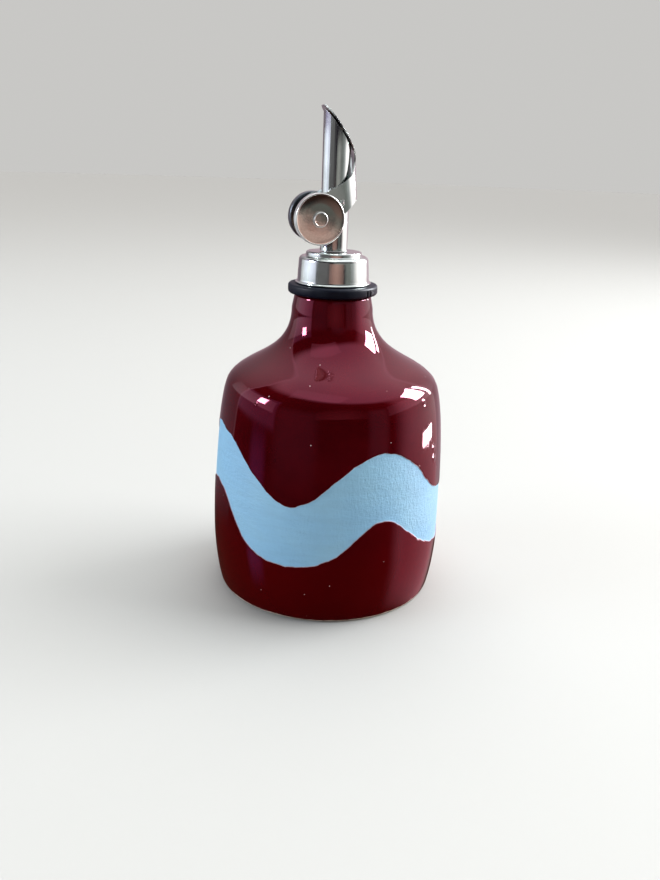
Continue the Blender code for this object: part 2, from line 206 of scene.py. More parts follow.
# what reflections see of the room, in degrees; later panels lie over earlier ones
room = {
    "seen": (0.58, 0.575, 0.56),
    "daylight": (0.24, 0.24, 0.235),
    "dark": (0.018, 0.014, 0.020),
    "table": (0.055, 0.022, 0.016), "tableFrom": -12.0, "tableTo": -30.0,
    "wallLine": (1.6, 1.45, 1.6),
    "ceiling": (1.32, 1.30, 1.36),
    "ceilingCompass": 30.0, "ceilingHeight": 78.0, "ceilingInner": 33.0, "ceilingOuter": 47.0,
    "wall": {"compass": 86, "height": 6, "reach": 56.5, "soft": 1.3,
             "lineInner": 0.9, "lineOuter": 2.0, "paleFrom": -8, "paleTo": 75,
             "lineRise": 0.5, "lineLow": 0.25, "lineHigh": 0.75,
             "leftEnd": -0.5, "rightEnd": 0.6, "footFrom": -25, "footTo": -17,
             "lowLeft": (0.20, 0.155, 0.185), "lowRight": (0.60, 0.44, 0.50),
             "highLeft": (0.92, 0.91, 0.94), "highRight": (1.30, 1.27, 1.32)},
    "panels": {
        "roomRight": {"compass": 6, "half": 33, "low": -36, "high": 48, "soft": 15,
                      "colour": (1.05, 0.88, 0.90)},
        "warmRight": {"compass": 6, "half": 31, "low": -42, "high": -14, "soft": 9,
                      "colour": (0.80, 0.36, 0.42)},
        "dimLeft": {"compass": -142, "half": 20, "low": -14, "high": 20, "soft": 8,
                    "colour": (0.15, 0.14, 0.145)},
        "dimRight": {"compass": -57, "half": 9, "low": -14, "high": 20, "soft": 5,
                     "colour": (0.22, 0.225, 0.215)},
        "roomLeft": {"compass": 165, "half": 30, "low": -4, "high": 34, "soft": 2,
                     "colour": (0.34, 0.27, 0.45)},
        "stripLeft": {"compass": 178, "half": 5, "low": -34, "high": -8, "soft": 7,
                      "colour": (0.26, 0.16, 0.46)},
    },
}


def sineOf(degrees):
    return math.sin(math.radians(degrees))


def cosineOf(degrees):
    return math.cos(math.radians(degrees))


def panelShare(tree, direction, panel):
    flat = addNode(tree, 'ShaderNodeVectorMath', {0: direction, 1: (1, 1, 0)}, operation='MULTIPLY')
    flat = addNode(tree, 'ShaderNodeVectorMath', {0: flat.outputs[0]}, operation='NORMALIZE')
    beside = addNode(tree, 'ShaderNodeVectorMath',
                     {0: flat.outputs[0], 1: towardsCompass(panel["compass"], 0)}, operation='DOT_PRODUCT')
    soft = panel["soft"]
    share = ramped(tree, beside.outputs["Value"], cosineOf(panel["half"] + soft),
                   cosineOf(max(panel["half"] - soft, 0.5)))
    up = addNode(tree, 'ShaderNodeSeparateXYZ', {"Vector": direction}).outputs["Z"]
    for edge, below, above in ((panel["low"], 0.0, 1.0), (panel["high"], 1.0, 0.0)):
        step = ramped(tree, up, sineOf(edge - soft), sineOf(edge + soft), below, above)
        share = sums(tree, 'MULTIPLY', share, step)
    return share


def coneShare(tree, direction, compass, height, outer, inner):
    towards = addNode(tree, 'ShaderNodeVectorMath', {0: direction, 1: towardsCompass(compass, height)},
                      operation='DOT_PRODUCT')
    return ramped(tree, towards.outputs["Value"], cosineOf(outer), cosineOf(inner))


def addRoom():
    # pale to the camera; reflections see a dim room with pale panels
    world = bpy.data.worlds.new("room")
    bpy.context.scene.world = world
    world.use_nodes = True
    tree = world.node_tree
    tree.nodes.clear()
    direction = addNode(tree, 'ShaderNodeTexCoord').outputs["Generated"]
    up = addNode(tree, 'ShaderNodeSeparateXYZ', {"Vector": direction}).outputs["Z"]
    below = ramped(tree, up, sineOf(room["tableTo"]), sineOf(room["tableFrom"]), 1.0, 0.0)
    colour = mixed(tree, below, room["dark"], room["table"])
    for panel in room["panels"].values():
        colour = mixed(tree, panelShare(tree, direction, panel), colour, panel["colour"])
    ceilingShare = coneShare(tree, direction, room["ceilingCompass"], room["ceilingHeight"],
                             room["ceilingOuter"], room["ceilingInner"])
    colour = mixed(tree, ceilingShare, colour, room["ceiling"])
    wall = room["wall"]
    side = towardsCompass(wall["compass"] - 90, 0)
    rightness = addNode(tree, 'ShaderNodeVectorMath', {0: direction, 1: side}, operation='DOT_PRODUCT')
    rightness = ramped(tree, rightness.outputs["Value"], wall["leftEnd"], wall["rightEnd"])
    raised = ramped(tree, up, sineOf(wall["paleFrom"]), sineOf(wall["paleTo"]))
    raised = sums(tree, 'MULTIPLY', raised, raised)
    wallColour = mixed(tree, rightness, mixed(tree, raised, wall["lowLeft"], wall["highLeft"]),
                       mixed(tree, raised, wall["lowRight"], wall["highRight"]))
    wallShare = coneShare(tree, direction, wall["compass"], wall["height"], wall["reach"] + wall["soft"],
                          wall["reach"] - wall["soft"])
    aboveTable = ramped(tree, up, sineOf(wall["footFrom"]), sineOf(wall["footTo"]))
    colour = mixed(tree, sums(tree, 'MULTIPLY', wallShare, aboveTable), colour, wallColour)
    line = coneShare(tree, direction, wall["compass"], wall["height"], wall["reach"] + wall["lineOuter"],
                     wall["reach"] + wall["lineInner"])
    line = sums(tree, 'MULTIPLY', line, sums(tree, 'SUBTRACT', 1.0, wallShare))
    line = sums(tree, 'MULTIPLY', sums(tree, 'MULTIPLY', line, aboveTable),
                ramped(tree, up, 0.0, wall["lineRise"], wall["lineLow"], wall["lineHigh"]))
    colour = mixed(tree, line, colour, room["wallLine"])
    path = addNode(tree, 'ShaderNodeLightPath').outputs
    colour = mixed(tree, path["Is Glossy Ray"], room["daylight"], colour)
    colour = mixed(tree, path["Is Camera Ray"], colour, room["seen"])
    back = addNode(tree, 'ShaderNodeBackground', {"Color": colour, "Strength": 1.0})
    addNode(tree, 'ShaderNodeOutputWorld', {"Surface": back.outputs[0]})


floorLook = {
    "radius": 5.0, "sides": 96,
    "paper": (0.43, 0.43, 0.42, 1.0), "roughness": 0.8, "specular": 0.1,
}


def addFloor():
    look = floorLook
    deselectAll()
    bpy.ops.mesh.primitive_circle_add(vertices=look["sides"], radius=look["radius"], fill_type='NGON',
                                      location=(0, 0, 0))
    floor = bpy.context.object
    floor.name = "paleFloor"
    finish, tree, shader = newFinish("palePaper")
    shader.inputs["Base Color"].default_value = look["paper"]
    shader.inputs["Roughness"].default_value = look["roughness"]
    shader.inputs["Specular IOR Level"].default_value = look["specular"]
    floor.data.materials.append(finish)
    floor.visible_glossy = False


bpy.context.scene.view_settings.view_transform = 'Standard'
addCamera()
addLights()
addRoom()
addFloor()
print("stage: camera, lights and floor")


# all in mm, the same outline as the solid; slopes and angles in degrees
potShape = {
    "around": 288, "smoothAngle": 45,
    "baseFlatRadius": 37.2,
    "foot": (37.97, 0.5), "footSlope": 61.5, "footRound": 1.1,
    "belly": (40.3, 21.2), "fullBelow": 10.3, "fullAbove": 20.5,
    "shoulder": (35.8, 73.8), "shoulderSlope": 117.7, "roundBelow": 6.3, "roundAbove": 8.3,
    "neck": (13.6, 98.3), "neckSweep": 16.2,
    "mouthRadius": 12.9, "mouthHeight": 102.7, "mouthRound": 1.0,
    "mouthArc": (0, 22, 45, 68, 90), "mouthRings": (8.0, 3.0),
    "baseInsets": (5.0, 12.0, 12.0), "baseFlat": 0.01,
    "wallFrom": 6.0, "wallTo": 79.0, "clearBelow": 0.2, "clearAbove": 0.4, "rowSlack": 1e-4,
    "rowsBelow": 14, "rowsBetween": 15, "rowsAbove": 18, "curveSteps": 14, "fineSteps": 400,
    "glazeThickness": 0.28,
    "leanFrom": 22.0, "leanMost": 75.0, "leanOut": 0.56, "leanBack": 0.22,
    "leanTowards": (0.956, -0.292),
}

# edges of the pale band: (degrees round the pot, height in mm); the back is continued
bandShape = {
    "top": ((-183, 60.6), (-171, 59.8), (-159.4, 57.5), (-150.6, 52.8), (-140.2, 47.0), (-130.2, 42.2),
            (-125.6, 41.1), (-119.6, 41.9), (-113.3, 44.2), (-105.4, 49.1), (-97.4, 53.8), (-91, 56.7),
            (-83.9, 58.6), (-76.3, 58.6), (-69, 56.6), (-60.2, 52.5), (-54, 48.4), (-48.8, 44.6),
            (-39.8, 41.1), (-28, 39.6), (-16, 41.8), (-2, 50.0), (9, 55.4), (18, 57.2), (28, 55.0),
            (41, 47.5), (52, 42.4), (60, 41.6), (69, 43.6), (82, 51.5), (92, 57.4), (101, 59.2),
            (111, 57.0), (123, 49.6), (133, 44.2), (141, 43.0), (149, 45.0), (161, 52.6), (170, 58.6)),
    "foot": ((-180, 40.7), (-173, 40.5), (-165.9, 38.6), (-158.1, 33.0), (-150.8, 26.9), (-142.5, 22.7),
             (-133.3, 20.8), (-122.3, 20.5), (-115.6, 21.1), (-109.2, 22.4), (-99.5, 26.2),
             (-94, 29.7), (-88.2, 33.5), (-81.1, 36.0), (-75.3, 35.6), (-66.4, 31.3), (-58.1, 26.8),
             (-49.3, 23.0), (-39, 20.6), (-26, 19.7), (-12, 23.0), (2, 31.0), (12, 35.6), (19, 36.4),
             (28, 33.8), (40, 26.4), (50, 22.0), (60, 20.8), (71, 24.0), (84, 32.6), (94, 37.6),
             (102, 38.6), (111, 36.0), (124, 28.0), (134, 23.4), (142, 22.4), (151, 25.4), (164, 34.0),
             (173, 39.2)),
    "topHeight": 50.0, "footHeight": 29.0,
    "edgeRows": (-1.3, -0.7, -0.38, -0.18, -0.05, 0.05, 0.15, 0.26, 0.40, 0.75, 1.3),
    "slopeFrom": -0.18, "slopeTo": 0.30,
    "wobbles": ((31, 0.09), (47, 0.07), (73, 0.06), (119, 0.04)), "footPhase": 0.7, "topPhase": 2.1,
    "blisteredAt": -52.0, "blisteredOver": 9.0, "blisteredMore": 1.6,
    "wallRadius": 40.0, "outside": -20.0,
}


def along(point, degrees, distance):
    return (point[0] + distance * cosineOf(degrees), point[1] + distance * sineOf(degrees))


def curvePoints(start, startHandle, endHandle, end, steps):
    t = np.linspace(0, 1, steps + 1)[1:, None]
    corners = [np.array(corner) for corner in (start, startHandle, endHandle, end)]
    points = ((1 - t) ** 3 * corners[0] + 3 * (1 - t) ** 2 * t * corners[1]
              + 3 * (1 - t) * t * t * corners[2] + t ** 3 * corners[3])
    return [tuple(point) for point in points]


def potOutline(steps):
    pot = potShape
    belly, shoulder, neck = pot["belly"], pot["shoulder"], pot["neck"]
    line = [(pot["baseFlatRadius"], 0.0), pot["foot"]]
    line += curvePoints(pot["foot"], along(pot["foot"], pot["footSlope"], pot["footRound"]),
                        (belly[0], belly[1] - pot["fullBelow"]), belly, steps)
    line += curvePoints(belly, (belly[0], belly[1] + pot["fullAbove"]),
                        along(shoulder, pot["shoulderSlope"], -pot["roundBelow"]), shoulder, steps * 2)
    line += curvePoints(shoulder, along(shoulder, pot["shoulderSlope"], pot["roundAbove"]),
                        (neck[0], neck[1] - pot["neckSweep"]), neck, steps * 2)
    return line


fineOutline = np.array(potOutline(potShape["fineSteps"]))


def potRadius(height):
    return np.interp(height, fineOutline[:, 1], fineOutline[:, 0])


def bandEdge(points, degrees):
    # a smooth closed curve through the points, as heights
    angles = np.array([point[0] for point in points], float)
    heights = np.array([point[1] for point in points], float)
    angles = np.concatenate((angles[-2:] - 360, angles, angles[:3] + 360))
    heights = np.concatenate((heights[-2:], heights, heights[:3]))
    lean = np.gradient(heights, angles)
    where = (np.asarray(degrees) - angles[2]) % 360 + angles[2]
    k = np.clip(np.searchsorted(angles, where, side='right') - 1, 0, len(angles) - 2)
    gap = angles[k + 1] - angles[k]
    t = (where - angles[k]) / gap
    return ((2 * t ** 3 - 3 * t ** 2 + 1) * heights[k] + (t ** 3 - 2 * t ** 2 + t) * gap * lean[k]
            + (3 * t ** 2 - 2 * t ** 3) * heights[k + 1] + (t ** 3 - t ** 2) * gap * lean[k + 1])


def brushWobble(degrees, phase):
    # the edge of the glaze was painted on by hand
    band, turn = bandShape, np.radians(degrees)
    wobble = sum(size * np.sin(count * turn + phase * count) for count, size in band["wobbles"])
    blistered = np.exp(-((np.asarray(degrees) - band["blisteredAt"]) / band["blisteredOver"]) ** 2)
    return wobble * (1 + band["blisteredMore"] * blistered)


def wallRows():
    # row heights of the wall before the rows are slid along the band's edges
    band, pot = bandShape, potShape
    foot, top = band["footHeight"], band["topHeight"]
    reach = band["edgeRows"][-1]
    rows = list(np.linspace(pot["wallFrom"], foot - reach, pot["rowsBelow"])[:-1])
    rows += [foot + step for step in band["edgeRows"]]
    rows += list(np.linspace(foot + reach, top - reach, pot["rowsBetween"])[1:-1])
    rows += [top - step for step in reversed(band["edgeRows"])]
    rows += list(np.linspace(top + reach, pot["wallTo"], pot["rowsAbove"])[1:])
    return rows


def growRings(outline):
    # a stack of rings, drawn out one from another, each scaled to its radius
    bpy.ops.object.mode_set(mode='EDIT')
    bpy.ops.mesh.select_mode(type='EDGE')
    bpy.ops.mesh.select_all(action='SELECT')
    for (radius, height), (nextRadius, nextHeight) in zip(outline, outline[1:]):
        rise = (nextHeight - height) * mm
        bpy.ops.mesh.extrude_region_move(TRANSFORM_OT_translate={"value": (0, 0, rise)})
        grow = nextRadius / radius
        bpy.ops.transform.resize(value=(grow, grow, 1.0), center_override=(0, 0, nextHeight * mm))


def makePot():
    pot = potShape
    curve = potOutline(pot["curveSteps"])
    outline = [point for point in curve if point[1] < pot["wallFrom"] - pot["clearBelow"]]
    outline += [(float(potRadius(height)), height) for height in wallRows()]
    outline += [point for point in curve if point[1] > pot["wallTo"] + pot["clearAbove"]]
    edge = (pot["mouthRadius"] - pot["mouthRound"], pot["mouthHeight"] - pot["mouthRound"])
    outline += [along(edge, degrees, pot["mouthRound"]) for degrees in pot["mouthArc"]]
    outline += [(radius, pot["mouthHeight"]) for radius in pot["mouthRings"]]

    deselectAll()
    bpy.ops.mesh.primitive_circle_add(vertices=pot["around"], radius=outline[0][0] * mm,
                                      fill_type='NOTHING', location=(0, 0, 0))
    made = bpy.context.object
    made.name = "glazedPot"
    growRings(outline)
    bpy.ops.mesh.edge_face_add()  # closes the mouth, which the collar covers
    bpy.ops.mesh.poke()
    bpy.ops.object.mode_set(mode='OBJECT')
    closeBase(made)
    slideRowsToBand(made)
    finishSurface(made, pot["smoothAngle"])
    return made


def closeBase(made):
    # inset rings under the pot, for an even base
    mesh, flat = made.data, potShape["baseFlat"] * mm
    bpy.ops.object.mode_set(mode='EDIT')
    bpy.ops.mesh.select_mode(type='EDGE')
    bpy.ops.mesh.select_all(action='DESELECT')
    bpy.ops.object.mode_set(mode='OBJECT')
    for edge in mesh.edges:
        edge.select = all(abs(mesh.vertices[corner].co.z) < flat for corner in edge.vertices)
    bpy.ops.object.mode_set(mode='EDIT')
    bpy.ops.mesh.edge_face_add()
    bpy.ops.mesh.select_mode(type='FACE')
    for step in potShape["baseInsets"]:
        bpy.ops.mesh.inset(thickness=step * mm)
    bpy.ops.mesh.poke()
    bpy.ops.object.mode_set(mode='OBJECT')


def potLean(height):
    # the thrown wall wanders a little off its axis: out below the shoulder, back at the neck
    pot = potShape
    rise = np.clip((height - pot["leanFrom"]) / (pot["leanMost"] - pot["leanFrom"]), 0, 1)
    fall = np.clip((height - pot["leanMost"]) / (pot["neck"][1] - pot["leanMost"]), 0, 1)
    return (pot["leanOut"] * rise * rise * (3 - 2 * rise)
            - (pot["leanOut"] + pot["leanBack"]) * fall * fall * (3 - 2 * fall))


def slideRowsToBand(made):
    band, pot = bandShape, potShape
    mesh = made.data
    co = np.zeros(len(mesh.vertices) * 3)
    mesh.vertices.foreach_get("co", co)
    co = co.reshape(-1, 3) / mm
    height = co[:, 2].copy()
    degrees = np.degrees(np.arctan2(co[:, 1], co[:, 0]))
    foot = bandEdge(band["foot"], degrees) + brushWobble(degrees, band["footPhase"])
    top = bandEdge(band["top"], degrees) + brushWobble(degrees, band["topPhase"])
    step = 0.05
    leanFoot = bandEdge(band["foot"], degrees + step) - bandEdge(band["foot"], degrees - step)
    leanTop = bandEdge(band["top"], degrees + step) - bandEdge(band["top"], degrees - step)
    side = 2 * math.radians(step) * band["wallRadius"]
    steepFoot, steepTop = np.hypot(1, leanFoot / side), np.hypot(1, leanTop / side)

    wall = (height > pot["wallFrom"]) & (height < pot["wallTo"])
    reach = band["edgeRows"][-1]
    marks = [np.full_like(foot, pot["wallFrom"]), foot - reach * steepFoot, foot + reach * steepFoot,
             top - reach * steepTop, top + reach * steepTop, np.full_like(foot, pot["wallTo"])]
    flat = [pot["wallFrom"], band["footHeight"] - reach, band["footHeight"] + reach,
            band["topHeight"] - reach, band["topHeight"] + reach, pot["wallTo"]]
    slid = height.copy()
    for low, high, lowMark, highMark in zip(flat, flat[1:], marks, marks[1:]):
        here = wall & (height >= low - pot["rowSlack"]) & (height <= high + pot["rowSlack"])
        share = (height - low) / (high - low)
        slid = np.where(here, lowMark + share * (highMark - lowMark), slid)

    inside = np.minimum((slid - foot) / steepFoot, (top - slid) / steepTop)
    ease = np.clip((inside - band["slopeFrom"]) / (band["slopeTo"] - band["slopeFrom"]), 0, 1)
    sunk = pot["glazeThickness"] * ease * ease * (3 - 2 * ease)
    radius = np.where(wall, potRadius(slid), np.hypot(co[:, 0], co[:, 1]))
    probe = 0.1
    lean = (potRadius(slid + probe) - potRadius(slid - probe)) / (2 * probe)
    upright = 1 / np.hypot(1, lean)
    radius = radius - np.where(wall, sunk * upright, 0)
    slid = slid + np.where(wall, sunk * upright * lean, 0)
    turn = np.radians(degrees)
    moved = np.stack((radius * np.cos(turn), radius * np.sin(turn), slid), axis=1)
    keep = ~wall
    moved[keep] = co[keep]
    moved[:, :2] += np.outer(potLean(moved[:, 2]), pot["leanTowards"])
    mesh.vertices.foreach_set("co", (moved * mm).ravel())
    reachOf = mesh.attributes.new("bandDistance", 'FLOAT', 'POINT')
    reachOf.data.foreach_set("value", np.where(wall, inside, band["outside"]).astype(np.float32))
    mesh.update()


# points closer than this, in mm, become one
weldGap = 0.005


def finishSurface(made, smoothAngle):
    # outward faces, smooth shading, and everything applied into the mesh
    deselectAll()
    made.select_set(True)
    bpy.context.view_layer.objects.active = made
    bpy.ops.object.mode_set(mode='EDIT')
    bpy.ops.mesh.select_all(action='SELECT')
    bpy.ops.mesh.remove_doubles(threshold=weldGap * mm)
    bpy.ops.mesh.normals_make_consistent(inside=False)
    bpy.ops.object.mode_set(mode='OBJECT')
    bpy.ops.object.transform_apply(location=True, rotation=True, scale=True)
    bpy.ops.object.shade_smooth_by_angle(angle=math.radians(smoothAngle))


glazeLook = {
    "deep": (0.040, 0.0003, 0.0011),
    "thin": (0.060, 0.0006, 0.0018),
    "warm": (0.068, 0.0003, 0.0006),
    "paleEdge": (0.42, 0.26, 0.28),
    "lustre": (1.0, 0.22, 0.37),
    "skyBlue": (0.258, 0.55, 0.735),
    "skyBlueCool": (0.228, 0.515, 0.725),
    "clay": (0.56, 0.47, 0.38),
    "speck": (0.75, 0.60, 0.58),
    "glazeRoughness": 0.045, "bandRoughness": 0.62, "clayRoughness": 0.85, "smudged": 0.05,
    "index": 1.52, "shine": 0.85,
    "ragged": 0.03, "bandSoft": (-0.02, 0.06), "edgeFrom": (-0.09, 0.0), "edgeTo": (0.06, 0.20),
    "edgeMost": 0.85,
    "raggedScale": 1100.0, "pooledScale": 38.0, "warmFrom": 40.0, "warmTo": 14.0, "warmMost": 0.75,
    "speckScale": 210.0, "speckSize": (0.028, 0.048), "speckShare": (0.36, 0.38), "speckTall": 0.05,
    "brushScale": 95.0, "coolScale": 45.0, "gritScale": 900.0, "smudgeScale": 70.0,
    "bareFrom": 0.75, "bareTo": 0.95, "bareUneven": 0.25, "bareScale": 260.0, "gritTall": 0.2,
    "rippleScale": 55.0, "rippleTall": 0.10,
    "weftScale": 560.0, "warpScale": 1250.0, "canvasTall": 0.22,
}


# a burst bubble and a few blisters in the glaze, places in mm; a ring is its pit's radius
glazeSpots = {
    "burstBubble": {"at": (-30.57, -20.10, 71.7), "radius": 0.95, "ring": 0.55, "tall": 0.20},
    "blisterHigh": {"at": (22.81, -28.58, 71.8), "radius": 1.5, "ring": 0.0, "tall": 0.16},
    "blisterMiddle": {"at": (24.81, -29.86, 57.0), "radius": 1.2, "ring": 0.0, "tall": 0.14},
    "blisterSide": {"at": (28.44, -26.61, 55.6), "radius": 1.7, "ring": 0.0, "tall": 0.16},
    "blisterLow": {"at": (28.90, -26.50, 51.8), "radius": 1.9, "ring": 0.0, "tall": 0.18},
}


def spotHeight(tree, place, spot):
    # a dome, or a raised ring with a pit in it
    centre = tuple(value * mm for value in spot["at"])
    far = addNode(tree, 'ShaderNodeVectorMath', {0: place, 1: centre}, operation='DISTANCE')
    domeTop, pitFloor, pitDeep = 0.35 * spot["radius"], 0.12, 1.6
    dome = ramped(tree, far.outputs["Value"], domeTop * mm, spot["radius"] * mm, 1.0, 0.0)
    if not spot["ring"]:
        return dome
    pit = ramped(tree, far.outputs["Value"], pitFloor * mm, spot["ring"] * mm, pitDeep, 0.0)
    return sums(tree, 'SUBTRACT', dome, pit)


def makePotFinish():
    look = glazeLook
    finish, tree, shader = newFinish("burgundyGlazeAndSkyBand")
    place = objectPlace(tree)
    inside = addNode(tree, 'ShaderNodeAttribute', attribute_name="bandDistance",
                     attribute_type='GEOMETRY').outputs["Fac"]
    ragged = ramped(tree, cloudy(tree, place, look["raggedScale"], 2.0), 0.3, 0.7, -look["ragged"],
                    look["ragged"], soft=False)
    inside = sums(tree, 'ADD', inside, ragged)
    inBand = ramped(tree, inside, *look["bandSoft"])
    onEdge = sums(tree, 'MULTIPLY', ramped(tree, inside, *look["edgeFrom"]),
                  ramped(tree, inside, *look["edgeTo"], look["edgeMost"], 0.0))

    rise = addNode(tree, 'ShaderNodeSeparateXYZ', {"Vector": place}).outputs["Z"]
    pooled = cloudy(tree, place, look["pooledScale"], 4.0, 0.6)
    glaze = mixed(tree, ramped(tree, pooled, 0.35, 0.68), look["deep"], look["thin"])
    nearFoot = ramped(tree, rise, look["warmTo"] * mm, look["warmFrom"] * mm, look["warmMost"], 0.0)
    glaze = mixed(tree, nearFoot, glaze, look["warm"])
    cell = addNode(tree, 'ShaderNodeTexVoronoi', {"Vector": place, "Scale": look["speckScale"]})
    lucky = addNode(tree, 'ShaderNodeSeparateColor', {"Color": cell.outputs["Color"]})
    speck = sums(tree, 'MULTIPLY', ramped(tree, cell.outputs["Distance"], *look["speckSize"], 1.0, 0.0),
                 ramped(tree, lucky.outputs[0], *look["speckShare"]))
    glaze = mixed(tree, speck, glaze, look["speck"])

    brushed = cloudy(tree, stretched(tree, place, (1, 1, 7)), look["brushScale"], 3.0, 0.5)
    cool = cloudy(tree, place, look["coolScale"], 2.0)
    sky = mixed(tree, ramped(tree, cool, 0.35, 0.65), look["skyBlue"], look["skyBlueCool"])
    streak = addNode(tree, 'ShaderNodeHueSaturation',
                     {"Color": sky, "Value": ramped(tree, brushed, 0.3, 0.7, 0.97, 1.03)}).outputs[0]

    colour = mixed(tree, inBand, glaze, streak)
    colour = mixed(tree, onEdge, colour, look["paleEdge"])
    uneven = ramped(tree, cloudy(tree, place, look["bareScale"]), 0.2, 0.8, -look["bareUneven"] * mm,
                    look["bareUneven"] * mm, soft=False)
    bareTop = sums(tree, 'ADD', rise, uneven)
    bare = ramped(tree, bareTop, look["bareFrom"] * mm, look["bareTo"] * mm, 1.0, 0.0)
    grit = cloudy(tree, place, look["gritScale"], 4.0, 0.7)
    gritTone = ramped(tree, grit, 0.3, 0.7, 0.8, 1.15)
    clay = addNode(tree, 'ShaderNodeHueSaturation',
                   {"Color": (*look["clay"], 1), "Value": gritTone}).outputs[0]
    colour = mixed(tree, bare, colour, clay)
    tree.links.new(colour, shader.inputs["Base Color"])

    smudge = ramped(tree, cloudy(tree, place, look["smudgeScale"], 3.0), 0.45, 0.75, 0.0, look["smudged"])
    roughness = sums(tree, 'ADD', look["glazeRoughness"], smudge)
    for share, value in ((inBand, look["bandRoughness"]), (bare, look["clayRoughness"])):
        step = addNode(tree, 'ShaderNodeMix', {0: share, 2: roughness, 3: value}, data_type='FLOAT')
        roughness = step.outputs[0]
    tree.links.new(roughness, shader.inputs["Roughness"])

    ripple = cloudy(tree, place, look["rippleScale"], 2.0)
    normal = bumped(tree, ripple, look["rippleTall"] * mm, 0.6)
    normal = bumped(tree, speck, look["speckTall"] * mm, 0.5, normal)
    weft = cloudy(tree, stretched(tree, place, (1, 1, 3.0)), look["weftScale"], 3.0, 0.6)
    warp = cloudy(tree, stretched(tree, place, (1, 1, 0.35)), look["warpScale"], 3.0, 0.6)
    canvas = sums(tree, 'MULTIPLY', sums(tree, 'ADD', weft, warp), inBand)
    normal = bumped(tree, canvas, look["canvasTall"] * mm, 1.0, normal)
    for spot in glazeSpots.values():
        normal = bumped(tree, spotHeight(tree, place, spot), spot["tall"] * mm, 1.0, normal)
    normal = bumped(tree, sums(tree, 'MULTIPLY', grit, bare), look["gritTall"] * mm, 0.8, normal)
    tree.links.new(normal, shader.inputs["Normal"])
    shader.inputs["IOR"].default_value = look["index"]
    shader.inputs["Specular Tint"].default_value = (*look["lustre"], 1)
    shader.inputs["Specular IOR Level"].default_value = look["shine"]
    return finish


pot = makePot()
pot.data.materials.append(makePotFinish())
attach(pot, "bottle_body")
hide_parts("bottle")
print("stage: pot", len(pot.data.polygons))


steelLook = {
    "bright": (0.715, 0.775, 0.745),
    "dull": (0.62, 0.67, 0.64),
    "smooth": 0.13, "rubbed": 0.22,
    "paintedEdgeHighlight": (0.93, 0.96, 0.95), "edgeRoughness": 0.55,
    "smearScale": 130.0, "scratchScale": 2400.0, "scratchTall": 0.001,
}


def makePolishedSteel():
    look = steelLook
    finish, tree, shader = newFinish("polishedStainless")
    place = objectPlace(tree)
    smear = cloudy(tree, place, look["smearScale"], 4.0, 0.6)
    edge = addNode(tree, 'ShaderNodeAttribute', attribute_name="cutEdge",
                   attribute_type='GEOMETRY').outputs["Fac"]
    steel = mixed(tree, ramped(tree, smear, 0.35, 0.7), look["bright"], look["dull"])
    # painted highlight: the eased edges get a paler steel colour so that they show as bright lines
    tree.links.new(mixed(tree, edge, steel, look["paintedEdgeHighlight"]), shader.inputs["Base Color"])
    scratch = cloudy(tree, stretched(tree, place, (1, 1, 0.12)), look["scratchScale"], 3.0, 0.6)
    rubbed = ramped(tree, scratch, 0.35, 0.75, look["smooth"], look["rubbed"])
    both = addNode(tree, 'ShaderNodeMix', {0: edge, 2: rubbed, 3: look["edgeRoughness"]},
                   data_type='FLOAT')
    tree.links.new(both.outputs[0], shader.inputs["Roughness"])
    tree.links.new(bumped(tree, scratch, look["scratchTall"] * mm, 0.3), shader.inputs["Normal"])
    shader.inputs["Metallic"].default_value = 1.0
    return finish


# near and far are a lit and a shaded copy: the far tones are dark all over, painted shade, as that disc
# faces into the shade between the discs
discWearAndPaintedLight = {
    "near": {"axis": (-7.6, 127.2), "upper": (0.33, 0.37, 0.335), "lower": (0.88, 0.60, 0.50),
             "rim": (0.84, 0.85, 0.82), "lowerMetallic": 0.55},
    "far": {"axis": (-6.0, 127.2), "upper": (0.09, 0.10, 0.125), "lower": (0.13, 0.115, 0.115),
            "rim": (0.17, 0.19, 0.215), "lowerMetallic": 1.0},
    "smooth": 0.15, "rubbed": 0.25, "rimRoughness": 0.34,
    "turnsFrom": 3.2, "turnsTo": -5.2,
    "discRimFrom": 7.45, "discRimSoft": 0.12,
    "rivetRimFrom": 1.92, "rivetRimTo": 2.5, "rivetRimSoft": 0.1,
    "mottleScale": 420.0, "mottleReach": 1.3, "slant": 0.45, "crazeScale": 1300.0, "crazeTone": 0.78,
    "fineScale": 2600.0, "fineTall": 0.006,
}


